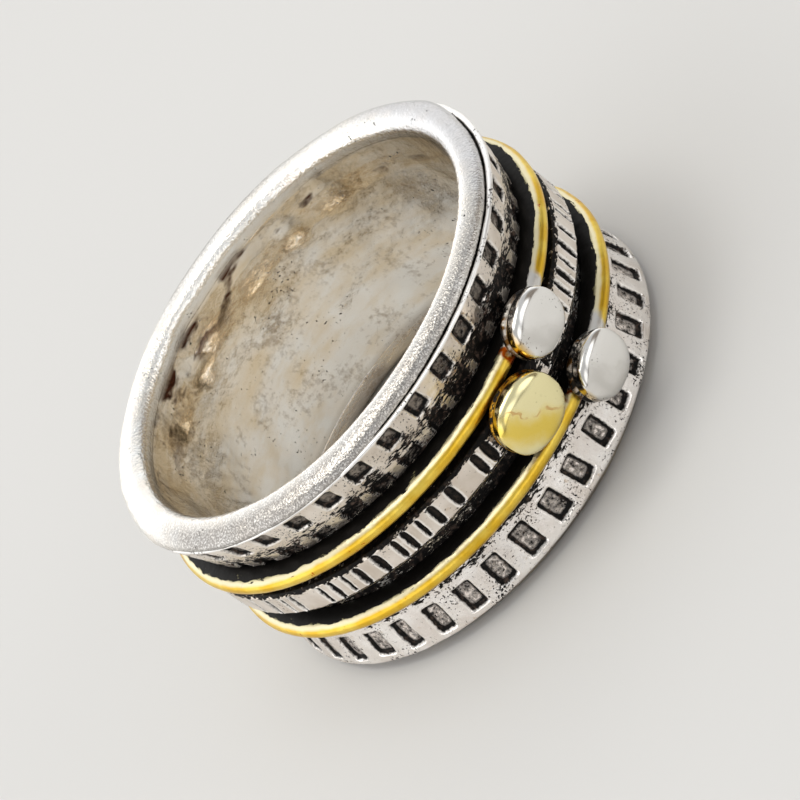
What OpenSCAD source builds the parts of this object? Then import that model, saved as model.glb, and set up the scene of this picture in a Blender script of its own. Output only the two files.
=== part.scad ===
// Wide band ring with three loose rings turning in a channel round it. Each
// loose ring carries one flattened oval bead. The finger hole's axis is Z, the
// decorated front end is up, and the origin is the centre of the finger hole.
// Angles go round the finger hole from the side with the beads, -Y, towards +X.

/* [Finger hole and walls] */
// Radius of the finger hole
finger_r = 9; // [7.5:0.05:11]
// Metal between the finger hole and the floor of the channel
channel_wall = 0.62; // [0.5:0.02:0.9]
// Height of the channel's front wall above its floor
front_step = 0.3; // [0.2:0.02:0.45]
// Height of the channel's back wall above its floor
back_step = 0.36; // [0.2:0.02:0.45]
// How much further out the front edge stands than the channel's front wall
front_flare = 0.68; // [0.5:0.02:0.8]
// How much further out the back edge stands than the channel's back wall
back_flare = 0.5; // [0.4:0.02:0.7]
// Radius of the rounded roll along each end of the finger hole
roll_r = 0.56; // [0.45:0.01:0.6]
// Distance along the axis from the crest of a roll to the edge outside it
edge_set_back = 0.52; // [0.4:0.01:0.6]
// Softening of the outer edges
edge_soft = 0.12; // [0.05:0.01:0.2]

/* [Shoulders] */
// Width of the front shoulder, from the front edge to the channel
front_shoulder_w = 2.32; // [2.2:0.02:2.8]
// Width of the back shoulder, from the channel to the back edge
back_shoulder_w = 2.2; // [2:0.02:2.6]

/* [Dents] */
// Dents in each row round the band
dent_count = 38; // [24:1:42]
// Angle of the first dent round the band
first_dent_angle = 0.5; // [-8:0.5:8]
// Width of a dent round the band
dent_w = 0.85; // [0.6:0.01:1]
// Depth of the dents
dent_depth = 0.17; // [0.08:0.01:0.24]
// Length along the axis of the dents beside the front edge
front_dent_l = 0.9; // [0.6:0.01:1.1]
// Smooth metal between the softened front edge and its dents
front_dent_inset = 0.04; // [0.02:0.01:0.15]
// Length along the axis of the notches that open into the channel
notch_l = 0.62; // [0.4:0.01:0.8]
// Length along the axis of the dents beside the back edge
back_dent_l = 1.3; // [0.9:0.01:1.5]
// Smooth metal between the softened back edge and its dents
back_dent_inset = 0.22; // [0.05:0.01:0.3]

/* [Loose rings] */
// Running clearance between the channel's floor and a loose ring
run_clearance = 0.07; // [0.04:0.01:0.1]
// Thickness of the two half-round rings, from their inside to their crest
round_t = 1.04; // [0.9:0.02:1.3]
// Width of the two half-round rings
round_w = 0.96; // [0.8:0.02:1.2]
// Straight side of a half-round ring below its rounding
round_side = 0.16; // [0.05:0.01:0.3]
// Thickness of the flat middle ring
flat_t = 0.86; // [0.7:0.02:1.1]
// Width of the flat middle ring
flat_w = 1.43; // [1.2:0.01:1.8]
// Width of the bevels along the middle ring
bevel_w = 0.15; // [0.05:0.01:0.25]
// Drop of the bevels along the middle ring
bevel_drop = 0.12; // [0.05:0.01:0.25]
// Gap between the channel's front wall and the front ring
front_gap = 0.16; // [0.1:0.01:0.6]
// Gap between the front ring and the middle ring
front_middle_gap = 0.21; // [0.1:0.01:0.8]
// Gap between the middle ring and the back ring
middle_back_gap = 0.96; // [0.1:0.01:1.2]
// Gap between the back ring and the channel's back wall
back_gap = 0.15; // [0.1:0.01:0.6]

/* [Tick marks] */
// Width of a full tick mark on the middle ring
tick_w = 0.4; // [0.2:0.01:0.5]
// Length of a full tick mark
tick_l = 1.04; // [0.7:0.01:1.1]
// Depth of the tick marks
tick_depth = 0.15; // [0.06:0.01:0.25]

/* [Beads] */
// Width of a silver bead across the band
silver_bead_w = 2.46; // [2:0.02:2.7]
// Length of a silver bead round the band
silver_bead_l = 2.94; // [2.7:0.02:3.2]
// Thickness of a silver bead
silver_bead_t = 1.1; // [0.8:0.02:1.4]
// Height of a silver bead's underside above the crest that it sits on
silver_bead_lift = 0.04; // [0.02:0.01:0.2]
// Width of the gold bead across the band
gold_bead_w = 2.84; // [2.4:0.02:3]
// Length of the gold bead round the band
gold_bead_l = 3.3; // [3:0.02:3.6]
// Thickness of the gold bead
gold_bead_t = 1.24; // [1:0.02:1.6]
// Height of the gold bead's underside above the middle ring
gold_bead_lift = 0.27; // [0.2:0.01:0.5]
// Width of the solder neck under a silver bead
silver_neck_w = 0.8; // [0.5:0.02:0.8]
// Width of the solder neck under the gold bead
gold_neck_w = 1.2; // [0.8:0.02:1.2]
// Angle of the gold bead round the band
gold_bead_angle = 12; // [-180:1:180]
// Space left round the band between the gold bead and the front silver bead
front_bead_space = 0.44; // [0.1:0.02:6]
// Space left round the band between the gold bead and the back silver bead
back_bead_space = 1.4; // [0.1:0.02:6]

/* [Hidden] */
$fn = 96;
silver = [0.78, 0.77, 0.75];
gold = [0.86, 0.68, 0.24];
// Overshoot of a cut past the surface that it opens
cut = 0.5;
// Steps along a half ellipse, on a ring's crown and on a bead
crown_steps = 12;
bead_steps = 10;

floor_r = finger_r + channel_wall;
front_step_r = floor_r + front_step;
back_step_r = floor_r + back_step;
front_edge_r = front_step_r + front_flare;
back_edge_r = back_step_r + back_flare;
loose_r = floor_r + run_clearance;
round_crest_r = loose_r + round_t;
flat_out_r = loose_r + flat_t;

channel_w = front_gap + round_w + front_middle_gap + flat_w
    + middle_back_gap + round_w + back_gap;
band_w = edge_set_back + back_shoulder_w + channel_w + front_shoulder_w + edge_set_back;
front_z = band_w / 2;
front_edge_z = front_z - edge_set_back;
channel_front_z = front_edge_z - front_shoulder_w;
back_z = -band_w / 2;
back_edge_z = back_z + edge_set_back;
channel_back_z = back_edge_z + back_shoulder_w;
front_ring_z = channel_front_z - front_gap - round_w / 2;
middle_ring_z = channel_front_z - front_gap - round_w - front_middle_gap - flat_w / 2;
back_ring_z = channel_back_z + back_gap + round_w / 2;

silver_bead_r = round_crest_r + silver_bead_lift + silver_bead_t / 2;
gold_bead_r = flat_out_r + gold_bead_lift + gold_bead_t / 2;
// Two beads on neighbouring rings touch when the round ends of their outlines
// are this far apart round the band.
function round_end_spread(w, l) = max(0, l - w) / 2;
bead_reach = (silver_bead_w + gold_bead_w) / 2;
bead_spread = round_end_spread(silver_bead_w, silver_bead_l)
    + round_end_spread(gold_bead_w, gold_bead_l);
function touch_space(dz) =
    bead_spread + sqrt(max(0, bead_reach * bead_reach - dz * dz));
function space_angle(space) = space / min(silver_bead_r, gold_bead_r) * 180 / PI;
front_touch_angle = space_angle(touch_space(front_ring_z - middle_ring_z));
back_touch_angle = space_angle(touch_space(middle_ring_z - back_ring_z));
front_bead_angle = gold_bead_angle + front_touch_angle + space_angle(front_bead_space);
back_bead_angle = gold_bead_angle + back_touch_angle + space_angle(back_bead_space);

// Tick marks of the middle ring, in their order round it from the gold bead:
// angle from the bead, width as a share of tick_w, length as a share of
// tick_l, slant in degrees. The bead covers the gap between last and first.
ticks = [
    [12.6, 0.5, 0.9, 6], [16.2, 0.7, 0.95, 5], [19.5, 0.45, 0.9, 8], [22.8, 0.6, 1, 4],
    [26.4, 0.5, 0.9, 6], [30.3, 0.62, 0.95, 3], [33.8, 0.85, 1, 2], [37.8, 0.5, 0.9, 5],
    [42, 0.95, 1, 4], [47.5, 0.8, 0.95, 3], [53.4, 0.5, 0.9, 2], [56.6, 0.6, 0.95, 4],
    [63.2, 0.7, 1, 3], [67.4, 0.45, 0.85, 6], [70.6, 0.8, 1, 4], [78.5, 0.95, 1, 2],
    [82.8, 0.55, 0.9, 5], [86.2, 0.75, 0.95, 4], [92.9, 0.6, 1, 3], [96.3, 0.9, 1, 2],
    [100.9, 0.5, 0.85, 6], [107.6, 0.8, 0.95, 4], [111.5, 0.65, 1, 5], [119.2, 1, 1, 3],
    [124.1, 0.5, 0.9, 4], [127.6, 0.7, 0.95, 2], [131.2, 0.5, 0.9, 6], [138.6, 0.85, 1, 3],
    [143.2, 0.6, 0.95, 5], [146.4, 0.8, 1, 4], [154.3, 0.5, 0.85, 2], [157.5, 0.9, 1, 4],
    [162.4, 0.65, 0.95, 5], [169.8, 0.75, 1, 3], [173.6, 0.5, 0.9, 6], [177.1, 0.95, 1, 2],
    [185.4, 0.6, 0.95, 4], [188.8, 0.8, 1, 5], [193.3, 0.5, 0.85, 3], [200.2, 0.9, 1, 4],
    [204.7, 0.55, 0.9, 2], [208.1, 0.7, 0.95, 5], [215.9, 1, 1, 3], [220.4, 0.6, 0.9, 4],
    [223.8, 0.8, 1, 6], [231.1, 0.5, 0.9, 2], [234.4, 0.75, 0.95, 4], [238.9, 0.55, 1, 5],
    [246.7, 0.85, 1, 3], [250.6, 0.5, 0.9, 4], [254.2, 0.9, 1, 2], [261.8, 0.65, 0.95, 5],
    [265.2, 0.5, 0.85, 3], [274.2, 0.4, 0.9, 4], [280.3, 0.7, 0.95, 3], [285.7, 0.4, 0.9, 2],
    [289.2, 0.6, 0.95, 4], [298.2, 0.5, 0.95, 3], [301.7, 0.7, 1, 5], [305.5, 0.45, 0.9, 4],
    [309.5, 0.85, 1, 3], [315.2, 0.9, 1, 2], [320.7, 0.7, 0.95, 4], [323.8, 0.75, 1, 3],
    [327.8, 0.5, 0.9, 5], [332, 0.85, 1, 4], [337.6, 1, 1, 3], [346.2, 0.9, 1, 4],
    [349.6, 1, 1, 4]
];

// Turns a shape that lies along +X to an angle counted from -Y towards +X.
module at_angle(angle) {
    rotate([0, 0, angle - 90]) children();
}

// One dent sunk into a sloping shoulder between two levels, its floor parallel
// to the shoulder.
module shoulder_dent(low_r, low_z, high_r, high_z) {
    dent_angle = dent_w / ((low_r + high_r) / 2) * 180 / PI;
    rotate([0, 0, -dent_angle / 2])
        rotate_extrude(angle = dent_angle)
            polygon([
                [low_r - dent_depth, low_z],
                [low_r + cut, low_z],
                [high_r + cut, high_z],
                [high_r - dent_depth, high_z]
            ]);
}

function front_shoulder_r(z) =
    front_step_r + front_flare * (z - channel_front_z) / front_shoulder_w;
function back_shoulder_r(z) =
    back_step_r + back_flare * (channel_back_z - z) / back_shoulder_w;

module front_dent() {
    high_z = front_edge_z - edge_soft - front_dent_inset;
    low_z = high_z - front_dent_l;
    shoulder_dent(front_shoulder_r(low_z), low_z, front_shoulder_r(high_z), high_z);
}

// The notches run out through the channel's front wall.
module notch() {
    high_z = channel_front_z + notch_l;
    low_z = channel_front_z - front_gap / 2;
    shoulder_dent(front_shoulder_r(low_z), low_z, front_shoulder_r(high_z), high_z);
}

module back_dent() {
    low_z = back_edge_z + edge_soft + back_dent_inset;
    high_z = low_z + back_dent_l;
    shoulder_dent(back_shoulder_r(low_z), low_z, back_shoulder_r(high_z), high_z);
}

module band_section() {
    polygon([
        [finger_r, back_z + roll_r],
        [finger_r + roll_r, back_edge_z],
        [back_edge_r - edge_soft, back_edge_z],
        [back_edge_r, back_edge_z + edge_soft],
        [back_step_r, channel_back_z],
        [floor_r, channel_back_z],
        [floor_r, channel_front_z],
        [front_step_r, channel_front_z],
        [front_edge_r, front_edge_z - edge_soft],
        [front_edge_r - edge_soft, front_edge_z],
        [finger_r + roll_r, front_edge_z],
        [finger_r, front_z - roll_r]
    ]);
    translate([finger_r + roll_r, back_z + roll_r]) circle(r = roll_r);
    translate([finger_r + roll_r, front_z - roll_r]) circle(r = roll_r);
}

module band() {
    color(silver)
        difference() {
            rotate_extrude() band_section();
            for (i = [0 : dent_count - 1])
                at_angle(first_dent_angle + i * 360 / dent_count) {
                    front_dent();
                    notch();
                    back_dent();
                }
        }
}

// Points of a half ellipse that bulges along +X, from its lower end to its
// upper end.
function half_ellipse(reach, half_h, steps) =
    [for (i = [0 : steps]) [
        reach * sin(180 * i / steps),
        -half_h * cos(180 * i / steps)
    ]];

module round_section() {
    crown = half_ellipse(round_t - round_side, round_w / 2, crown_steps);
    polygon(concat(
        [[loose_r, -round_w / 2]],
        [for (p = crown) [loose_r + round_side + p[0], p[1]]],
        [[loose_r, round_w / 2]]
    ));
}

module flat_section() {
    polygon([
        [loose_r, -flat_w / 2],
        [flat_out_r - bevel_drop, -flat_w / 2],
        [flat_out_r, -flat_w / 2 + bevel_w],
        [flat_out_r, flat_w / 2 - bevel_w],
        [flat_out_r - bevel_drop, flat_w / 2],
        [loose_r, flat_w / 2]
    ]);
}

// Flattened oval bead centred on the origin: w along X, l along Y, t along Z.
module bead_shape(w, l, t) {
    spread = round_end_spread(w, l);
    side = half_ellipse(w / 2, t / 2, bead_steps);
    outline = concat(side, [for (i = [bead_steps - 1 : -1 : 1]) [-side[i][0], side[i][1]]]);
    translate([0, spread, 0]) rotate_extrude(angle = 180) polygon(side);
    translate([0, -spread, 0]) rotate([0, 0, 180]) rotate_extrude(angle = 180) polygon(side);
    if (spread > 0)
        translate([0, spread, 0]) rotate([90, 0, 0])
            linear_extrude(2 * spread) polygon(outline);
}

// Bead on its solder neck, standing on a loose ring whose middle is at height z.
module seated_bead(angle, z, centre_r, w, l, t, neck_w) {
    at_angle(angle) translate([0, 0, z]) rotate([0, 90, 0]) {
        translate([0, 0, centre_r]) bead_shape(w, l, t);
        translate([0, 0, loose_r + round_side])
            cylinder(h = centre_r - loose_r - round_side, d = neck_w);
    }
}

// Half-round gold ring with one silver bead.
module round_spinner(z, bead_angle) {
    color(gold)
        translate([0, 0, z]) rotate_extrude() round_section();
    color(silver)
        seated_bead(bead_angle, z, silver_bead_r,
            silver_bead_w, silver_bead_l, silver_bead_t, silver_neck_w);
}

module front_spinner() {
    round_spinner(front_ring_z, front_bead_angle);
}

module back_spinner() {
    round_spinner(back_ring_z, back_bead_angle);
}

// Slot with round ends, along Z on the outside of the middle ring.
module tick(angle, w, l, slant) {
    straight = max(0.01, l - w);
    at_angle(angle)
        translate([flat_out_r - tick_depth, 0, middle_ring_z])
            rotate([slant, 0, 0]) rotate([0, 90, 0])
                linear_extrude(tick_depth + cut) {
                    square([straight, w], center = true);
                    translate([straight / 2, 0]) circle(d = w);
                    translate([-straight / 2, 0]) circle(d = w);
                }
}

module middle_spinner() {
    color(silver)
        difference() {
            translate([0, 0, middle_ring_z]) rotate_extrude() flat_section();
            for (t = ticks)
                tick(gold_bead_angle + t[0], tick_w * t[1], tick_l * t[2], t[3]);
        }
    color(gold)
        seated_bead(gold_bead_angle, middle_ring_z, gold_bead_r,
            gold_bead_w, gold_bead_l, gold_bead_t, gold_neck_w);
}

band();
front_spinner();
middle_spinner();
back_spinner();
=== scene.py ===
import bpy
import math
from mathutils import Matrix, Vector, noise


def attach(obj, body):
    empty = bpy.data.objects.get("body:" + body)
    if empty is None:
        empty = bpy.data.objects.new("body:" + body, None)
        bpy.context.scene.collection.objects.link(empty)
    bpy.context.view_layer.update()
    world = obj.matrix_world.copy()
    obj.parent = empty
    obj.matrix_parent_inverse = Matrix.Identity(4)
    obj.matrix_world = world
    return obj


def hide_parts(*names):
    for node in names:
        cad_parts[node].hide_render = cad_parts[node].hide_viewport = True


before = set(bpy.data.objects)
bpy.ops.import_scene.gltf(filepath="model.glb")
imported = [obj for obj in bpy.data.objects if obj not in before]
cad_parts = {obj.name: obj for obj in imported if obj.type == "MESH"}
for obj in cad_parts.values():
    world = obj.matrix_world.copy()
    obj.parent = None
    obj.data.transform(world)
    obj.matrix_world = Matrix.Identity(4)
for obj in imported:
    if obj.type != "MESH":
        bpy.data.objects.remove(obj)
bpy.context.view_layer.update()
mm = 0.001
print("frame loaded")


def linear(hexText, alpha=1.0):
    # sRGB hex to the linear colour that nodes take
    parts = [int(hexText[i:i + 2], 16) / 255 for i in (1, 3, 5)]
    return [p / 12.92 if p <= 0.04045 else ((p + 0.055) / 1.055) ** 2.4 for p in parts] + [alpha]


def addNode(tree, kind, *values, out=0, **settings):
    # adds a node with its settings; a second word of the kind is its operation.
    # Values go to its inputs in order, or by name in a dictionary, and a socket
    # is linked. Gives back one output, or the node.
    kind, *operation = kind.split()
    node = tree.nodes.new(kind if "Node" in kind else "ShaderNode" + kind)
    if operation:
        node.operation = operation[0]
    for setting, value in settings.items():
        setattr(node, setting, value)
    places = {}
    for number, value in enumerate(values):
        places.update(value if isinstance(value, dict) else {number: value})
    for key, value in places.items():
        if isinstance(value, bpy.types.NodeSocket):
            tree.links.new(value, node.inputs[key])
        else:
            node.inputs[key].default_value = value
    return node if out is None or not node.outputs else node.outputs[out]


def newTree(name, sockets):
    # geometry tree with its named inputs; the caller links the rest and closes it
    tree = bpy.data.node_groups.new(name, "GeometryNodeTree")
    tree.interface.new_socket("Geometry", in_out="OUTPUT", socket_type="NodeSocketGeometry")
    tree.interface.new_socket("Geometry", in_out="INPUT", socket_type="NodeSocketGeometry")
    tree.interface.new_socket("Material", in_out="INPUT", socket_type="NodeSocketMaterial")
    for label, kind, *value in sockets:
        item = tree.interface.new_socket(label, in_out="INPUT", socket_type="NodeSocket" + kind)
        if value:
            item.default_value = value[0]
    return tree, addNode(tree, "NodeGroupInput", out=None).outputs


def closeTree(tree, entry, geometry):
    solid = addNode(tree, "GeometryNodeRealizeInstances", geometry)
    painted = addNode(tree, "GeometryNodeSetMaterial", solid, {"Material": entry["Material"]})
    addNode(tree, "NodeGroupOutput", painted)
    return tree


def movePoints(tree, geometry, direction, amount):
    push = addNode(tree, "VectorMath SCALE", direction, {"Scale": amount})
    return addNode(tree, "GeometryNodeSetPosition", geometry, {"Offset": push})


storeAttribute, readAttribute = "GeometryNodeStoreNamedAttribute", "GeometryNodeInputNamedAttribute"


def growPiece(name, mesh, steps, material, body, slot, *nodes):
    # runs the trees on the source mesh and keeps the result as a plain mesh
    source = bpy.data.objects.new(name + "Source", mesh)
    bpy.context.scene.collection.objects.link(source)
    for tree, values in steps:
        modifier = source.modifiers.new(tree.name, "NODES")
        modifier.node_group = tree
        for item in tree.interface.items_tree:
            if item.in_out == "INPUT" and item.name in values:
                modifier[item.identifier] = values[item.name]
            if item.in_out == "INPUT" and item.name == "Material":
                modifier[item.identifier] = material
    graph = bpy.context.evaluated_depsgraph_get()
    shape = bpy.data.meshes.new_from_object(
        source.evaluated_get(graph), preserve_all_data_layers=True, depsgraph=graph)
    bpy.data.objects.remove(source)
    shape.name = name
    return finishPiece(name, shape, material, body, slot, *nodes)


def finishPiece(name, shape, material, body, slot, *nodes):
    shape.materials.clear()
    shape.materials.append(material)
    shape.polygons.foreach_set("use_smooth", [True] * len(shape.polygons))
    piece = bpy.data.objects.new(name, shape)
    bpy.context.scene.collection.objects.link(piece)
    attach(piece, body)
    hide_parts(*nodes)
    print(name, len(shape.polygons), "faces")
    return piece


def roundedSection(corners, step, weigh=None):
    # closed outline of a ring's section, as edges in the plane of radius and
    # height; each corner is radius, height, rounding, all in millimetres
    points = []
    count = len(corners)
    for i, (r, z, soft) in enumerate(corners):
        here = Vector((r, z))
        before = Vector(corners[i - 1][:2]) - here
        after = Vector(corners[(i + 1) % count][:2]) - here
        if soft <= 0:
            points.append(here)
            continue
        half = before.angle(after) / 2
        reach = min(soft / math.tan(half), before.length / 2, after.length / 2)
        radius = reach * math.tan(half)
        start, end = here + before.normalized() * reach, here + after.normalized() * reach
        middle = here + (before.normalized() + after.normalized()).normalized() * (radius / math.sin(half))
        sweep = (start - middle).angle_signed(end - middle)
        turns = max(2, math.ceil(abs(sweep) * radius / (step * 0.6)))
        for k in range(turns + 1):
            arm = start - middle
            arm.rotate(Matrix.Rotation(-sweep * k / turns, 2))
            points.append(middle + arm)
    outline = []
    for i, here in enumerate(points):
        after = points[(i + 1) % len(points)]
        pieces = max(1, round((after - here).length / step))
        outline += [here.lerp(after, k / pieces) for k in range(pieces)]
    if sum(outline[i - 1].cross(here) for i, here in enumerate(outline)) > 0:
        outline.reverse()  # so that the swept faces point outwards
    mesh = bpy.data.meshes.new("section")
    ring = len(outline)
    mesh.from_pydata([(p.x * mm, 0, p.y * mm) for p in outline],
                     [(i, (i + 1) % ring) for i in range(ring)], [])
    weight = mesh.attributes.new("weight", "FLOAT", "POINT")
    weight.data.foreach_set("value", [weigh(p.x, p.y) if weigh else 1.0 for p in outline])
    return mesh


# Angles go round the finger hole from the beads' side, -Y, towards +X.

def makeSweepTree():
    # turns a section round the finger hole; each point keeps its angle, radius and height
    tree, entry = newTree("sweepSection", [("Columns", "Int", 360)])
    place = addNode(tree, "SeparateXYZ", addNode(tree, "GeometryNodeInputPosition"), out=None)
    section = addNode(tree, "GeometryNodeMeshToCurve", entry["Geometry"])
    for label, axis in (("sectionR", "X"), ("sectionZ", "Z")):
        section = addNode(tree, storeAttribute, section, {"Name": label, "Value": place.outputs[axis]})
    path = addNode(tree, "GeometryNodeCurvePrimitiveCircle", {"Resolution": entry["Columns"]})
    share = addNode(tree, "Math DIVIDE", addNode(tree, "GeometryNodeInputIndex"), entry["Columns"])
    turn = addNode(tree, "Math MULTIPLY_ADD", share, 2 * math.pi, -math.pi)
    path = addNode(tree, storeAttribute, path, {"Name": "turn", "Value": turn})
    ring = addNode(tree, "GeometryNodeCurveToMesh", path, section)
    angle, radius, height = (addNode(tree, readAttribute, label) for label in ("turn", "sectionR", "sectionZ"))
    spots = []
    for operation in ("SINE", "COSINE"):
        wave = addNode(tree, "Math", angle, operation=operation)
        spots.append(addNode(tree, "Math MULTIPLY", wave, radius))
    away = addNode(tree, "Math MULTIPLY", spots[1], -1.0)
    spot = addNode(tree, "CombineXYZ", spots[0], away, height)
    ring = addNode(tree, "GeometryNodeSetPosition", ring, {"Position": spot})
    return closeTree(tree, entry, ring)


def outwardFrom(tree):
    # unit vector straight away from the finger hole's axis
    flat = addNode(tree, "VectorMath MULTIPLY", addNode(tree, "GeometryNodeInputPosition"), (1, 1, 0))
    return addNode(tree, "VectorMath NORMALIZE", flat)


def makeHammerTree():
    # uneven hand-worked surface: soft lumps along the normals, by the section's weight
    tree, entry = newTree("hammerSurface", [
        ("Lump Size", "Float", 1 * mm), ("Height", "Float", 0.02 * mm), ("Detail", "Float", 1.0),
        ("Stretch", "Vector", (1, 1, 1)), ("Seed", "Float", 1.0)])
    scale = addNode(tree, "Math DIVIDE", 1.0, entry["Lump Size"])
    spot = addNode(tree, "VectorMath MULTIPLY", addNode(tree, "GeometryNodeInputPosition"), entry["Stretch"])
    lumps = addNode(tree, "TexNoise", spot, {"W": entry["Seed"], "Scale": scale, "Detail": entry["Detail"]},
                    noise_dimensions="4D")
    level = addNode(tree, "Math SUBTRACT", lumps, 0.5)
    weight = addNode(tree, readAttribute, "weight")
    amount = addNode(tree, "Math MULTIPLY", entry["Height"], weight)
    amount = addNode(tree, "Math MULTIPLY", amount, level)
    normal = addNode(tree, "GeometryNodeInputNormal")
    return closeTree(tree, entry, movePoints(tree, entry["Geometry"], normal, amount))


def makeRollTree():
    # widens the front roll's outer side: most over the stretch where it runs out
    # into the shoulder, less where a fold is left between them
    tree, entry = newTree("spreadRoll", [
        ("Middle Radius", "Float", 9.56 * mm), ("Middle Height", "Float", 4.635 * mm), ("Merged", "Float", 0.7),
        ("Folded", "Float", 0.3), ("Fold Middle", "Float", 0.9), ("Fold Reach", "Float", 1.0),
        ("Fade", "Float", 0.4)])
    angle, radius, height = (addNode(tree, readAttribute, label) for label in ("turn", "sectionR", "sectionZ"))
    away = addNode(tree, "Math SUBTRACT", angle, entry["Fold Middle"])
    away = addNode(tree, "Math WRAP", away, math.pi, -math.pi)
    away = addNode(tree, "Math ABSOLUTE", away)
    far = addNode(tree, "Math ADD", entry["Fold Reach"], entry["Fade"])
    share = addNode(tree, "MapRange", away, entry["Fold Reach"], far, entry["Folded"], entry["Merged"],
                    interpolation_type="SMOOTHSTEP")
    place = addNode(tree, "GeometryNodeInputPosition")
    wander = addNode(tree, "TexNoise", place, {"Scale": 1 / (2.5 * mm), "Detail": 2.0})
    wander = addNode(tree, "MapRange", wander, 0.0, 1.0, 0.85, 1.05)
    share = addNode(tree, "Math MULTIPLY", share, wander)
    # only above the roll's middle, so that nothing shows in the dents below
    rise = addNode(tree, "Math SUBTRACT", height, entry["Middle Height"])
    rise = addNode(tree, "MapRange", rise, -0.12 * mm, 0.0, interpolation_type="SMOOTHSTEP")
    beyond = addNode(tree, "Math SUBTRACT", radius, entry["Middle Radius"])
    beyond = addNode(tree, "Math MAXIMUM", beyond, 0.0)
    amount = addNode(tree, "Math MULTIPLY", share, rise)
    amount = addNode(tree, "Math MULTIPLY", amount, beyond)
    return closeTree(tree, entry, movePoints(tree, entry["Geometry"], outwardFrom(tree), amount))


def insideShare(tree, reach, softness):
    # from 0 outside a mark's edge to 1 inside it
    inner = addNode(tree, "Math MULTIPLY", softness, -1.0)
    outer = addNode(tree, "Math MULTIPLY", softness, 0.5)
    return addNode(tree, "MapRange", reach, outer, inner, 0.0, 1.0, interpolation_type="SMOOTHSTEP")


def makeBoxDistance():
    # signed distance from the edge of a rectangle with rounded corners
    tree = bpy.data.node_groups.new("boxDistance", "GeometryNodeTree")
    tree.interface.new_socket("Distance", in_out="OUTPUT", socket_type="NodeSocketFloat")
    for label, kind in (("Spot", "Vector"), ("Half Size", "Vector"), ("Corner", "Float")):
        tree.interface.new_socket(label, in_out="INPUT", socket_type="NodeSocket" + kind)
    entry = addNode(tree, "NodeGroupInput", out=None).outputs
    corner = addNode(tree, "CombineXYZ", entry["Corner"], entry["Corner"])
    core = addNode(tree, "VectorMath SUBTRACT", entry["Half Size"], corner)
    beyond = addNode(tree, "VectorMath ABSOLUTE", entry["Spot"])
    beyond = addNode(tree, "VectorMath SUBTRACT", beyond, core)
    outside = addNode(tree, "VectorMath MAXIMUM", beyond, (0, 0, 0))
    outside = addNode(tree, "VectorMath LENGTH", outside, out="Value")
    parts = addNode(tree, "SeparateXYZ", beyond, out=None)
    inside = addNode(tree, "Math MAXIMUM", parts.outputs[0], parts.outputs[1])
    inside = addNode(tree, "Math MINIMUM", inside, 0.0)
    reach = addNode(tree, "Math ADD", outside, inside)
    reach = addNode(tree, "Math SUBTRACT", reach, entry["Corner"])
    addNode(tree, "NodeGroupOutput", reach)
    return tree


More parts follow.
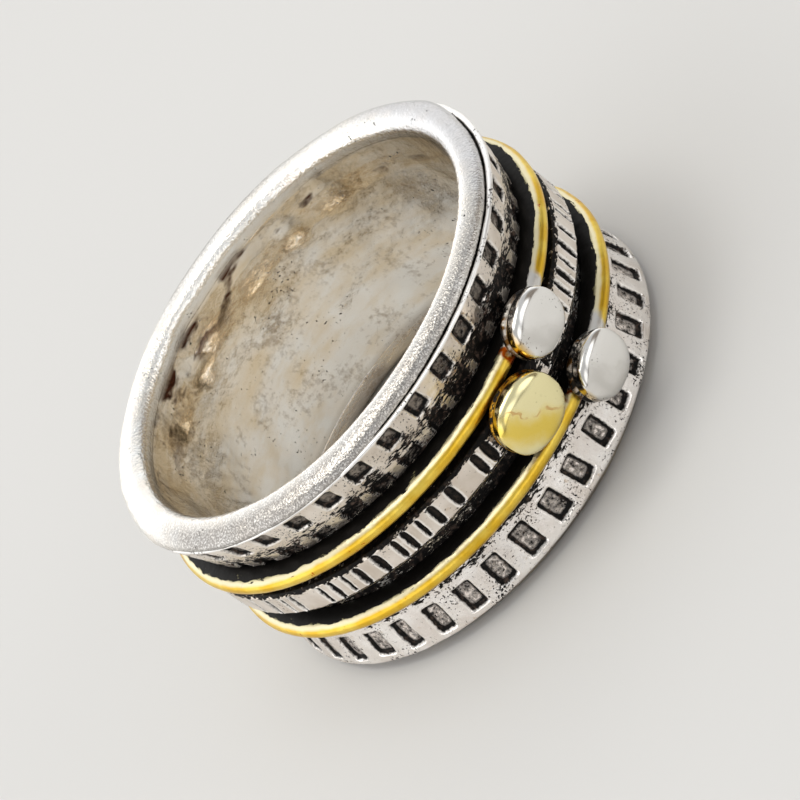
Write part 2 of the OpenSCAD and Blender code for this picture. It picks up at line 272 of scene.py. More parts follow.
def makeDentTree(boxDistance):
    # a row of dents with rounded corners, pressed in towards the axis, each a
    # little different; "dent" keeps the distance from the nearest dent's edge
    tree, entry = newTree("pressDentRow", [
        ("Count", "Int", 38), ("First", "Float", 0.0), ("Width", "Float", 0.85 * mm),
        ("Low", "Float", 0.0), ("High", "Float", mm), ("Depth", "Float", 0.17 * mm),
        ("Corner", "Float", 0.12 * mm), ("Softness", "Float", 0.05 * mm), ("Floor Radius", "Float", 9.7 * mm),
        ("Floor Shift", "Vector", (0.03 * mm, 0.02 * mm, 0)),
        ("Floor Inset", "Vector", (0.16 * mm, 0.16 * mm, 0)), ("Rim", "Float", 0.015 * mm),
        ("Unevenness", "Float", 1.0), ("Seed", "Int", 1), ("Fresh", "Float", 1.0)])
    angle, radius, height = (addNode(tree, readAttribute, label) for label in ("turn", "sectionR", "sectionZ"))
    pitch = addNode(tree, "Math DIVIDE", 2 * math.pi, entry["Count"])
    fromFirst = addNode(tree, "Math SUBTRACT", angle, entry["First"])
    steps = addNode(tree, "Math DIVIDE", fromFirst, pitch)
    nearest = addNode(tree, "Math ROUND", steps)
    number = addNode(tree, "Math FLOORED_MODULO", nearest, entry["Count"])
    local = addNode(tree, "Math SUBTRACT", steps, nearest)
    local = addNode(tree, "Math MULTIPLY", local, pitch)
    across = addNode(tree, "Math MULTIPLY", local, radius)
    middle = addNode(tree, "Math ADD", entry["Low"], entry["High"])
    along = addNode(tree, "Math MULTIPLY_ADD", middle, -0.5, height)
    # how this dent differs: shift across, shift along, turn, and its width, length, depth
    lucks = []
    for extra in (0, 17):
        seed = addNode(tree, "Math ADD", entry["Seed"], extra)
        luck = addNode(tree, "FunctionNodeRandomValue", (-1, -1, -1), (1, 1, 1), {"ID": number, "Seed": seed},
                       data_type="FLOAT_VECTOR")
        lucks.append(addNode(tree, "VectorMath SCALE", luck, {"Scale": entry["Unevenness"]}))
    luck, luckSize = lucks
    spot = addNode(tree, "CombineXYZ", across, along)
    shift = addNode(tree, "VectorMath MULTIPLY_ADD", luck, (0.045 * mm, 0.04 * mm, 0), spot)
    lean = addNode(tree, "Math MULTIPLY", addNode(tree, "SeparateXYZ", luck, out=2), 0.09)
    spot = addNode(tree, "VectorRotate", shift, {"Angle": lean}, rotation_type="Z_AXIS")
    size = addNode(tree, "Math SUBTRACT", entry["High"], entry["Low"])
    halfSize = addNode(tree, "CombineXYZ", entry["Width"], size)
    growth = addNode(tree, "VectorMath MULTIPLY_ADD", luckSize, (0.04, 0.03, 0), (0.5, 0.5, 0.5))
    halfSize = addNode(tree, "VectorMath MULTIPLY", halfSize, growth)
    reach = addNode(tree, "GeometryNodeGroup", {"Spot": spot, "Half Size": halfSize, "Corner": entry["Corner"]},
                    node_tree=boxDistance)
    # the rubbed floor is a smaller box, off centre, so its black outline is thicker on one side
    floorSpot = addNode(tree, "VectorMath SUBTRACT", spot, entry["Floor Shift"])
    floorShift = addNode(tree, "VectorMath MULTIPLY_ADD", luckSize, (0.03 * mm, 0.03 * mm, 0), floorSpot)
    floorHalf = addNode(tree, "VectorMath SUBTRACT", halfSize, entry["Floor Inset"])
    floorReach = addNode(tree, "GeometryNodeGroup",
                         {"Spot": floorShift, "Half Size": floorHalf, "Corner": entry["Corner"]},
                         node_tree=boxDistance)
    # press in, never below the floor radius, so an open dent cuts the channel's wall
    pressed = insideShare(tree, reach, entry["Softness"])
    deepness = addNode(tree, "Math MULTIPLY_ADD", addNode(tree, "SeparateXYZ", luckSize, out=2), 0.15, 1.0)
    deepness = addNode(tree, "Math MULTIPLY", deepness, entry["Depth"])
    above = addNode(tree, "Math SUBTRACT", radius, entry["Floor Radius"])
    above = addNode(tree, "Math MAXIMUM", above, 0.0)
    fall = addNode(tree, "Math MINIMUM", deepness, above)
    fall = addNode(tree, "Math MULTIPLY", fall, pressed)
    # the metal pushed aside stands as a low rim
    rim = addNode(tree, "MapRange", reach, 0.03 * mm, 0.13 * mm, entry["Rim"], 0.0,
                  interpolation_type="SMOOTHSTEP")
    rim = addNode(tree, "Math MULTIPLY", rim, addNode(tree, "Math SUBTRACT", 1.0, pressed))
    fall = addNode(tree, "Math SUBTRACT", rim, fall)
    ring = movePoints(tree, entry["Geometry"], outwardFrom(tree), fall)
    # the first row starts the records of the distances afresh, the next ones add to them
    for label, distance in (("dent", reach), ("dentFloor", floorReach)):
        earlier = addNode(tree, readAttribute, label)
        earlier = addNode(tree, "Math ADD", entry["Fresh"], earlier)
        closest = addNode(tree, "Math MINIMUM", earlier, distance)
        ring = addNode(tree, storeAttribute, ring, {"Name": label, "Value": closest})
    return closeTree(tree, entry, ring)


def makeTickTree():
    # slots with round ends, cut where the chart's points say; "tick" keeps the
    # distance from the nearest slot's edge
    tree, entry = newTree("cutTickMarks", [
        ("Depth", "Float", 0.15 * mm), ("Softness", "Float", 0.05 * mm), ("Middle", "Float", 0.0),
        ("Surface Radius", "Float", 10.5 * mm), ("Rim", "Float", 0.02 * mm), ("Chart", "Object")])
    chart = addNode(tree, "GeometryNodeObjectInfo", entry["Chart"], out="Geometry")
    nearest = addNode(tree, "GeometryNodeSampleNearest", chart, domain="POINT")
    angle, height = (addNode(tree, readAttribute, label) for label in ("turn", "sectionZ"))
    fields = (addNode(tree, readAttribute, label)
              for label in ("tickWidth", "tickLength", "tickLean", "tickAngle"))
    wide, long, lean, markAngle = (
        addNode(tree, "GeometryNodeSampleIndex", chart, {"Value": field, "Index": nearest}, data_type="FLOAT",
                domain="POINT") for field in fields)
    across = addNode(tree, "Math SUBTRACT", angle, markAngle)
    across = addNode(tree, "Math WRAP", across, math.pi, -math.pi)
    across = addNode(tree, "Math MULTIPLY", across, entry["Surface Radius"])
    along = addNode(tree, "Math SUBTRACT", height, entry["Middle"])
    spot = addNode(tree, "CombineXYZ", across, along)
    spot = addNode(tree, "VectorRotate", spot, {"Angle": lean}, rotation_type="Z_AXIS")
    spot = addNode(tree, "VectorMath ABSOLUTE", spot)
    straight = addNode(tree, "Math SUBTRACT", long, wide)
    straight = addNode(tree, "Math MULTIPLY", straight, 0.5)
    core = addNode(tree, "CombineXYZ", {1: straight})
    beyond = addNode(tree, "VectorMath SUBTRACT", spot, core)
    beyond = addNode(tree, "VectorMath MAXIMUM", beyond, (0, 0, 0))
    reach = addNode(tree, "VectorMath LENGTH", beyond, out="Value")
    # a little narrower towards both ends, as a gouge leaves it
    share = addNode(tree, "Math DIVIDE", along, long)
    share = addNode(tree, "Math MULTIPLY", share, share)
    taper = addNode(tree, "Math MULTIPLY_ADD", share, 0.55, -0.5)
    reach = addNode(tree, "Math MULTIPLY_ADD", wide, taper, reach)
    cutIn = insideShare(tree, reach, entry["Softness"])
    weight = addNode(tree, readAttribute, "weight")
    rim = addNode(tree, "MapRange", reach, 0.03 * mm, 0.12 * mm, entry["Rim"], 0.0,
                  interpolation_type="SMOOTHSTEP")
    level = addNode(tree, "Mix", cutIn, {2: rim, 3: addNode(tree, "Math MULTIPLY", entry["Depth"], -1.0)})
    fall = addNode(tree, "Math MULTIPLY", level, weight)
    ring = movePoints(tree, entry["Geometry"], outwardFrom(tree), fall)
    # the dim floor of a slot starts well inside its edge
    floorReach = addNode(tree, "Math ADD", reach, 0.12 * mm)
    for label, distance in (("tick", reach), ("tickFloor", floorReach)):
        ring = addNode(tree, storeAttribute, ring, {"Name": label, "Value": distance})
    return closeTree(tree, entry, ring)


def makeFacetTree():
    # shallow round hammer marks in the hole's wall, at the chart's points
    tree, entry = newTree("pressHammerMarks", [("Depth", "Float", 0.09 * mm), ("Chart", "Object")])
    chart = addNode(tree, "GeometryNodeObjectInfo", entry["Chart"], out="Geometry")
    nearest = addNode(tree, "GeometryNodeSampleNearest", chart, domain="POINT")
    place = addNode(tree, "GeometryNodeInputPosition")
    fields = (place, "FLOAT_VECTOR"), (addNode(tree, readAttribute, "reach"), "FLOAT")
    middle, reach = (
        addNode(tree, "GeometryNodeSampleIndex", chart, {"Value": field, "Index": nearest}, data_type=kind,
                domain="POINT") for field, kind in fields)
    away = addNode(tree, "VectorMath DISTANCE", place, middle, out="Value")
    dish = addNode(tree, "MapRange", away, reach, 0.0, interpolation_type="SMOOTHSTEP")
    amount = addNode(tree, "Math MULTIPLY", dish, entry["Depth"])
    return closeTree(tree, entry, movePoints(tree, entry["Geometry"], outwardFrom(tree), amount))


sweepTree, hammerTree, rollTree = makeSweepTree(), makeHammerTree(), makeRollTree()
facetTree = makeFacetTree()
dentTree, tickTree = makeDentTree(makeBoxDistance()), makeTickTree()
print("shape trees made")


# Patterns in the materials are laid out in millimetres on Object coordinates.
# Inputs 6 and 7 of a Mix node are its colours, 2 and 3 its numbers.

def newMaterial(name):
    material = bpy.data.materials.new(name)
    material.use_nodes = True
    tree = material.node_tree
    tree.nodes.clear()
    coordinates = addNode(tree, "TexCoord", out="Object")
    coordinates = addNode(tree, "VectorMath SCALE", coordinates, {"Scale": 1000.0})
    return material, tree, coordinates


# Oval beads: degrees round the band, height of their ring, distance of their
# middle from the axis, and their half sizes round, along and away.
beadSizes = {
    "frontSilverBead": {"degrees": 27.98, "z": 1.715, "r": 11.32, "half": (1.47, 1.23, 0.55), "body": "front",
                        "neck": (0.61, 0.34), "footR": 10.63},
    "backSilverBead": {"degrees": 29.27, "z": -1.845, "r": 11.32, "half": (1.47, 1.23, 0.55), "body": "back",
                       "neck": (0.61, 0.34), "footR": 10.63},
    "goldBead": {"degrees": 12, "z": 0.31, "r": 11.44, "half": (1.65, 1.42, 0.62), "body": "middle",
                 "neck": (0.60, 0.44), "footR": 10.80},
}

# how far the outline and the dome are from an oval, 2, towards a box
beadShape = {"outline": 2.2, "dome": 3.1, "lumps": 0.03, "rows": 64, "columns": 128}


def beadMiddle(name):
    b = beadSizes[name]
    turn = math.radians(b["degrees"])
    return Vector((b["r"] * math.sin(turn), -b["r"] * math.cos(turn), b["z"]))


def closeMetal(material, height, colour, roughness, purity, specular):
    # the height, in millimetres, becomes a bump; purity falls to 0 on black patina
    tree = material.node_tree
    bump = addNode(tree, "Bump", {"Strength": 1.0, "Distance": 1 * mm, "Height": height})
    surface = addNode(tree, "BsdfPrincipled", colour, purity, roughness,
                      {"Normal": bump, "Specular IOR Level": specular})
    addNode(tree, "OutputMaterial", surface)
    return material


def patchShare(tree, spot, noiseInputs, *span):
    # soft patches: noise, mapped from one span of levels to 0..1 or another span
    patches = addNode(tree, "TexNoise", spot, noiseInputs,
                      noise_dimensions="4D" if "W" in noiseInputs else "3D")
    return addNode(tree, "MapRange", patches, *span)


def pitMask(tree, spot, size, share, seed):
    # small irregular pits in clusters: 1 in a pit, 0 on sound metal
    cluster = addNode(tree, "TexNoise", spot, {"W": seed, "Scale": 0.7, "Detail": 2.0}, noise_dimensions="4D")
    grain = addNode(tree, "TexNoise", spot, {"W": seed + 5, "Scale": 1 / size, "Detail": 3.0, "Roughness": 0.6},
                    noise_dimensions="4D")
    total = addNode(tree, "Math MULTIPLY_ADD", cluster, 0.55, grain)
    return addNode(tree, "MapRange", total, 1.0 - share, 1.06 - share, 0.0, 1.0,
                   interpolation_type="SMOOTHSTEP")


def sootMask(tree, spot, level, seed, size=0.10, stretch=(0.38, 0.38, 1.0)):
    # black patina left in the low places, as fine flecks drawn out along the
    # circumference; level is about 0.2 for a few flecks, 0.7 for all black
    drawn = addNode(tree, "VectorMath MULTIPLY", spot, stretch)
    grain = addNode(tree, "TexNoise", drawn, {"W": seed, "Scale": 1 / size, "Detail": 4.0, "Roughness": 0.62},
                    noise_dimensions="4D")
    patch = addNode(tree, "TexNoise", spot, {"W": seed + 2, "Scale": 1.1, "Detail": 3.0}, noise_dimensions="4D")
    total = addNode(tree, "Math MULTIPLY_ADD", level, 0.8, grain)
    total = addNode(tree, "Math MULTIPLY_ADD", patch, 0.5, total)
    return addNode(tree, "MapRange", total, 1.11, 1.17, 0.0, 1.0, interpolation_type="SMOOTHSTEP")


def attributeInMm(tree, label):
    value = addNode(tree, "Attribute", attribute_name=label, out="Fac")
    return addNode(tree, "Math MULTIPLY", value, 1000.0)


def patinaAndShadeNearBeads(tree, spot, level, names, inner, outer, amount):
    # raises the level beside the beads, where flux and patina gathered, and as painted shade round them
    for name in names:
        away = addNode(tree, "VectorMath DISTANCE", spot, beadMiddle(name), out=None)
        near = addNode(tree, "MapRange", away.outputs["Value"], inner, outer, amount, 0.0,
                       interpolation_type="SMOOTHSTEP")
        level = addNode(tree, "Math ADD", level, near)
    return level


def frontShoulderSoot(tree, spot):
    # nearly black beside the channel, thinning out towards the roll; the fold
    # against the roll is black too
    b = bandSizes
    height = addNode(tree, "Math SUBTRACT", attributeInMm(tree, "sectionZ"), b["frontWallZ"])
    ledge = addNode(tree, "MapRange", height, 0.25, 0.75, 0.34, 0.52)
    level = addNode(tree, "MapRange", height, 0.80, 1.60, 0.0, -0.28, interpolation_type="SMOOTHSTEP")
    level = addNode(tree, "Math ADD", ledge, level)
    # the ledges between the notches are rubbed bright in their middle
    clear = addNode(tree, "MapRange", attributeInMm(tree, "dent"), 0.08, 0.24, 0.16, -0.12)
    low = addNode(tree, "MapRange", height, 0.50, 0.80, 1.0, 0.0)
    level = addNode(tree, "Math MULTIPLY_ADD", clear, low, level)
    # patina and painted shade round the beads
    level = patinaAndShadeNearBeads(tree, spot, level, ["frontSilverBead", "goldBead"], 1.6, 4.2, 0.14)
    mask = sootMask(tree, spot, level, 1.0)
    radius = attributeInMm(tree, "sectionR")
    wander = addNode(tree, "TexNoise", spot, {"Scale": 0.35, "Detail": 3.0})
    radius = addNode(tree, "Math MULTIPLY_ADD", wander, 0.16, radius)
    fold = addNode(tree, "MapRange", radius, b["foldR"] + 0.36, b["foldR"] + 0.31)
    top = addNode(tree, "Math GREATER_THAN", height, 1.9)
    fold = addNode(tree, "Math MULTIPLY", fold, top)
    return addNode(tree, "Math MAXIMUM", fold, mask)


def backShoulderSoot(tree, spot):
    height = addNode(tree, "Math SUBTRACT", bandSizes["backWallZ"], attributeInMm(tree, "sectionZ"))
    level = addNode(tree, "MapRange", height, 0.05, 0.5, 0.56, 0.23)
    # patina and painted shade round the beads
    level = patinaAndShadeNearBeads(tree, spot, level, ["backSilverBead", "goldBead"], 1.7, 3.0, 0.06)
    return sootMask(tree, spot, level, 4.0)


def middleRingSoot(tree, spot):
    # scratched black along the front edge, a thin line beside the back edge
    s = looseSizes
    across = addNode(tree, "Math SUBTRACT", attributeInMm(tree, "sectionZ"), s["middleZ"])
    front = addNode(tree, "MapRange", across, 0.42, 0.66, 0.2, 0.68)
    line = addNode(tree, "Math COMPARE", across, -0.565, 0.03)
    line = addNode(tree, "Math MULTIPLY", line, 0.36)
    level = addNode(tree, "Math ADD", front, line)
    under = addNode(tree, "MapRange", across, -0.66, -0.715, 0.0, 0.5)
    level = addNode(tree, "Math ADD", level, under)
    level = patinaAndShadeNearBeads(tree, spot, level, ["goldBead"], 1.5, 2.6, 0.45)
    # patina and painted shade round the silver beads
    level = patinaAndShadeNearBeads(tree, spot, level, ["frontSilverBead", "backSilverBead"], 1.6, 2.5, 0.30)
    return sootMask(tree, spot, level, 7.0)


def channelSoot(tree, spot):
    # the channel's floor is black, with a few bare specks
    mask = sootMask(tree, spot, 0.62, 17.0)
    radius = attributeInMm(tree, "sectionR")
    height = addNode(tree, "Math ABSOLUTE", attributeInMm(tree, "sectionZ"))
    inFloor = addNode(tree, "Math GREATER_THAN", radius, 9.5)
    inChannel = addNode(tree, "Math LESS_THAN", height, 3.2)
    inside = addNode(tree, "Math MULTIPLY", inFloor, inChannel)
    return addNode(tree, "Math MULTIPLY", inside, mask)


def edgeHighlight(tree, spot, colour):
    # painted highlight: the front shoulder's outer edge is painted as a white line
    high = addNode(tree, "MapRange", attributeInMm(tree, "sectionZ"), 4.52, 4.60)
    return addNode(tree, "Mix", high, {6: colour, 7: linear(silver["edge"])}, data_type="RGBA", out=2)


# roll, dull and back are painted shade; cloud is worn tone and painted warm reflection; the brown patches are
# tarnish and painted dark reflection; speck is grey pits
boreTonesAndShades = {"roll": "#908b86", "dull": "#cfcfd3", "back": "#a89d90", "cloud": "#f2e2c6", "speck": "#8a7355",
             "stainAndShade": "#4a2a1d"}


def boreTintAndShade(tree, spot, colour):
    # painted shade: the roll is kept brightest along its top and painted dull grey towards the fold, less so
    # towards -X and towards +X
    rollShade = addNode(tree, "MapRange", attributeInMm(tree, "sectionR"), 9.43, 9.80, 0.0, 0.9)
    side = addNode(tree, "VectorMath DOT_PRODUCT", spot, (-0.87, 0.50, 0), out="Value")
    side = addNode(tree, "MapRange", side, 6.5, 8.8, 1.0, 0.05)
    right = addNode(tree, "SeparateXYZ", spot)
    right = addNode(tree, "MapRange", right, 3.0, 7.5, 1.0, 0.4)
    side = addNode(tree, "Math MULTIPLY", side, right)
    rollShade = addNode(tree, "Math MULTIPLY", rollShade, side)
    # bright flecks stay in the painted shade
    sparkle = patchShare(tree, spot, {"Scale": 13.0, "Detail": 2.0}, 0.46, 0.66, 1.0, 0.45)
    rollShade = addNode(tree, "Math MULTIPLY", rollShade, sparkle)
    # painted shade: one stretch of the roll, towards +X, is painted duller than the rest
    away = addNode(tree, "SeparateXYZ", spot)
    away = addNode(tree, "MapRange", away, 7.6, 9.3, 0.0, 0.65)
    onRoll = addNode(tree, "MapRange", attributeInMm(tree, "sectionZ"), 4.55, 4.75)
    away = addNode(tree, "Math MULTIPLY", away, onRoll)
    # handled silver inside the band: beige clouds drawn out round the hole, partly worn tone
    # and partly painted warm reflection, with painted shade towards the back and clusters of grey pits
    height = attributeInMm(tree, "sectionZ")
    # painted shade: darker towards the back end, toning down a bright mirrored arc there
    back = addNode(tree, "MapRange", height, -3.9, -4.5, 0.0, 0.8)
    drawn = addNode(tree, "VectorMath MULTIPLY", spot, (0.35, 0.35, 0.8))
    cloud = addNode(tree, "TexNoise", drawn, {"Scale": 1.0, "Detail": 5.0, "Roughness": 0.6})
    more = addNode(tree, "MapRange", height, -3.0, 2.6, -0.08, 0.10)
    cloud = addNode(tree, "Math ADD", cloud, more)
    cloud = addNode(tree, "MapRange", cloud, 0.42, 0.68)
    lip = addNode(tree, "MapRange", height, 4.0, 4.5, 1.0, 0.0)
    cloud = addNode(tree, "Math MULTIPLY", cloud, lip)
    cluster = addNode(tree, "TexNoise", spot, {"W": 2.0, "Scale": 0.5, "Detail": 2.0}, noise_dimensions="4D")
    speck = addNode(tree, "TexNoise", spot, {"Scale": 3.6, "Detail": 4.0, "Roughness": 0.65})
    speck = addNode(tree, "Math MULTIPLY_ADD", cluster, 0.9, speck)
    speck = addNode(tree, "MapRange", speck, 1.00, 1.22, 0.0, 0.5)
    speck = addNode(tree, "Math MULTIPLY", speck, lip)
    # brown patches below the roll: tarnish, and painted shade for the dark things mirrored there
    stainAndShade = patchShare(tree, drawn, {"W": 5.0, "Scale": 1.3, "Detail": 3.0}, 0.535, 0.60)
    high = addNode(tree, "MapRange", height, 2.5, 3.4)
    stainAndShade = addNode(tree, "Math MULTIPLY", stainAndShade, high)
    stainAndShade = addNode(tree, "Math MULTIPLY", stainAndShade, lip)
    for share, tone in ((rollShade, "roll"), (away, "dull"), (back, "back"), (cloud, "cloud"), (speck, "speck"),
                        (stainAndShade, "stainAndShade")):
        colour = addNode(tree, "Mix", share, {6: colour, 7: linear(boreTonesAndShades[tone])}, data_type="RGBA", out=2)
    return colour


# Silver plate on brass, cast and hand finished, then blackened and rubbed
# bright: white metal with dark recesses, fine black pits and a soft sheen.
# edge is the colour of a painted highlight along the front shoulder's outer edge
silver = {"black": "#0a0807", "ochre": "#b58a34", "fleck": "#66554b", "edge": "#fffdfa", "rim": "#fffaf4"}


def makeSilver(name, look, soot=None, recess=None, tint=None):
    material, tree, spot = newMaterial(name)
    cloud = patchShare(tree, spot, {"Scale": 0.8, "Detail": 4.0}, 0.35, 0.65)
    colour = addNode(tree, "Mix", cloud, {6: linear(look["bright"]), 7: linear(look["worn"])}, data_type="RGBA",
                     out=2)
    if tint:
        colour = tint(tree, spot, colour)
    if look.get("ochre"):
        # brass showing through in small worn spots
        worn = patchShare(tree, spot, {"W": 21.0, "Scale": 3.2, "Detail": 4.0, "Roughness": 0.6}, 0.64, 0.72,
                          0.0, look["ochre"])
        colour = addNode(tree, "Mix", worn, {6: colour, 7: linear(silver["ochre"])}, data_type="RGBA", out=2)
    pit = pitMask(tree, spot, look["pitSize"], look["pits"], 3.0)
    dark = pit
    if soot:
        dark = addNode(tree, "Math MAXIMUM", dark, soot(tree, spot))
    coat = dark
    if recess:
        # a pale rubbed rim, a black outline, and a rubbed floor inside it
        fray = addNode(tree, "TexNoise", spot, {"Scale": 7.0, "Detail": 3.0})
        reach = addNode(tree, "Math MULTIPLY_ADD", fray, 0.08, attributeInMm(tree, recess))
        inside = addNode(tree, "MapRange", reach, 0.06, 0.02, 0.0, 1.0)
        rim = addNode(tree, "MapRange", reach, 0.16, 0.10, 0.0, look["rimShine"])
        colour = addNode(tree, "Mix", rim, {6: colour, 7: linear(silver["rim"])}, data_type="RGBA", out=2)
        coat = addNode(tree, "Math MAXIMUM", dark, inside)
    # the patina isn't one black: brown and grey flecks stand in it
    fleck = patchShare(tree, spot, {"Scale": 4.0, "Detail": 5.0, "Roughness": 0.7}, 0.52, 0.66)
    fleck = addNode(tree, "Math MULTIPLY", fleck, look["flecks"])
    patina = addNode(tree, "Mix", fleck, {6: linear(silver["black"]), 7: linear(silver["fleck"])},
                     data_type="RGBA", out=2)
    colour = addNode(tree, "Mix", coat, {6: colour, 7: patina}, data_type="RGBA", out=2)
    if recess:
        within = addNode(tree, "Math MULTIPLY_ADD", fray, 0.10, attributeInMm(tree, recess + "Floor"))
        floor = addNode(tree, "MapRange", within, 0.08, 0.0, 0.0, 1.0)
        mottle = patchShare(tree, spot, {"Scale": 4.5, "Detail": 5.0, "Roughness": 0.65}, 0.36, 0.56)
        floor = addNode(tree, "Math MULTIPLY", floor, mottle)
        clean = addNode(tree, "Math SUBTRACT", 1.0, dark)
        floor = addNode(tree, "Math MULTIPLY", floor, clean)
        colour = addNode(tree, "Mix", floor, {6: colour, 7: linear(look["floor"])}, data_type="RGBA", out=2)
        coat = addNode(tree, "Math SUBTRACT", coat, floor)
        rubbed = addNode(tree, "Math MULTIPLY", floor, look["relief"])
    shine = addNode(tree, "MapRange", coat, 0.0, 1.0, look["roughness"], 0.55)
    purity = addNode(tree, "MapRange", coat, 0.0, 1.0, 1.0, 0.0)
    lumps = addNode(tree, "TexNoise", spot, {"Scale": 2.5, "Detail": 3.0})
    height = addNode(tree, "Math MULTIPLY", lumps, look["lumps"])
    if look.get("grain"):
        # the fine skin of cast metal, kept to the rolls by the section's weight
        fine = addNode(tree, "TexNoise", spot, {"Scale": 9.0, "Detail": 3.0})
        share = addNode(tree, "Attribute", attribute_name="weight", out="Fac")
        share = addNode(tree, "MapRange", share, 0.3, 1.0, look["grain"], 0.002)
        height = addNode(tree, "Math MULTIPLY_ADD", fine, share, height)
    height = addNode(tree, "Math MULTIPLY_ADD", dark, -look["bite"], height)
    if recess:
        height = addNode(tree, "Math ADD", height, rubbed)
    return closeMetal(material, height, colour, shine, purity, 0.15)


# Gold-coloured plate on half-round rings, polished on the crest: saturated
# yellow with orange worn spots, pale cream on the flanks, black at their foot,
# and silver-grey solder beside the bead.
gold = {"bright": "#efd05c", "deep": "#e2b634", "spot": "#c0620f", "cream": "#ece5c6", "olive": "#8f8a5e",
        "edge": "#f7e6a4", "solder": "#d9d6d0", "burnt": "#8f3f08", "black": "#0d0a07", "roughness": 0.31}


def makeGoldRing(name, ringZ, beadDegrees):
    material, tree, spot = newMaterial(name)
    cloud = patchShare(tree, spot, {"Scale": 0.9, "Detail": 4.0}, 0.38, 0.62)
    colour = addNode(tree, "Mix", cloud, {6: linear(gold["bright"]), 7: linear(gold["deep"])}, data_type="RGBA",
                     out=2)
    worn = pitMask(tree, spot, 0.22, 0.05, 31.0)
    # across the ring: 1 at the front edge, -1 at the back edge, with a wandering border
    across = addNode(tree, "Math SUBTRACT", attributeInMm(tree, "sectionZ"), ringZ)
    across = addNode(tree, "Math DIVIDE", across, looseSizes["roundW"] / 2)
    wander = addNode(tree, "TexNoise", spot, {"W": 3.0, "Scale": 1.3, "Detail": 4.0}, noise_dimensions="4D")
    across = addNode(tree, "Math MULTIPLY_ADD", wander, 0.2, across)
    flank = addNode(tree, "MapRange", across, 0.54, 0.70, 0.0, 0.85)
    olive = addNode(tree, "MapRange", across, 0.80, 0.92, 0.0, 0.85)
    edge = addNode(tree, "MapRange", across, -0.68, -0.76)
    # silver solder runs a little way from the bead, burnt brown where it ends below
    turn = addNode(tree, "Attribute", attribute_name="turn", out="Fac")
    turn = addNode(tree, "Math MULTIPLY_ADD", turn, 180 / math.pi, -beadDegrees)
    turn = addNode(tree, "Math MULTIPLY_ADD", wander, 9.0, turn)
    below = addNode(tree, "MapRange", turn, -2.6, -2.0)
    slanted = addNode(tree, "Math MULTIPLY_ADD", across, -4.0, turn)
    beyond = addNode(tree, "MapRange", slanted, 16.9, 14.4)
    solder = addNode(tree, "Math MULTIPLY", below, beyond)
    burnt = addNode(tree, "Math ADD", turn, 3.1)
    burnt = addNode(tree, "Math ABSOLUTE", burnt)
    burnt = addNode(tree, "MapRange", burnt, 1.2, 0.3)
    level = addNode(tree, "MapRange", across, 0.76, 0.96, 0.20, 0.80)
    under = addNode(tree, "MapRange", across, -0.72, -0.82, 0.0, 0.7)
    level = addNode(tree, "Math ADD", level, under)
    dark = sootMask(tree, spot, level, 9.0, size=0.08, stretch=(0.12, 0.12, 1.3))
    for share, tone in ((worn, "spot"), (flank, "cream"), (olive, "olive"), (edge, "edge"), (solder, "solder"),
                        (burnt, "burnt"), (dark, "black")):
        colour = addNode(tree, "Mix", share, {6: colour, 7: linear(gold[tone])}, data_type="RGBA", out=2)
    shine = addNode(tree, "MapRange", dark, 0.0, 1.0, gold["roughness"], 0.55)
    purity = addNode(tree, "MapRange", dark, 0.0, 1.0, 1.0, 0.0)
    lumps = addNode(tree, "TexNoise", spot, {"Scale": 1.6, "Detail": 3.0})
    height = addNode(tree, "Math MULTIPLY", lumps, 0.035)
    height = addNode(tree, "Math MULTIPLY_ADD", dark, -0.012, height)
    return closeMetal(material, height, colour, shine, purity, 0.15)


# Beads, melted to a smooth pebble and polished: clear soft reflections, painted light
# on the top and painted shade on the lower part, a few tiny pits, and the other
# metal's colour bleeding in along one side.
# top is a painted-light tone and low a painted-shade tone
beadLooks = {
    "frontSilverBead": {"top": "#f1efeb", "low": "#d9d6d1", "line": "#dedbd5", "bleed": "#d9ad3a",
                        "side": (-0.95, 0.10, 0.30), "start": 0.95, "pit": "#57503f", "roughness": 0.15},
    "backSilverBead": {"top": "#f1efeb", "low": "#d9d6d1", "line": "#dedbd5", "bleed": "#e0bb4a",
                       "side": (-0.95, 0.10, 0.10), "start": 1.10, "pit": "#57503f", "roughness": 0.15},
    "goldBead": {"top": "#f6ecb8", "low": "#ecd064", "line": "#b9650f", "bleed": "#8a4d10",
                 "side": (-0.15, 0.45, 0.88), "start": 1.10, "pit": "#57503f", "roughness": 0.17},
}
beadLightToShade = (-0.76, -0.30, -0.57)  # along the bead from its pale top to its deeper lower part


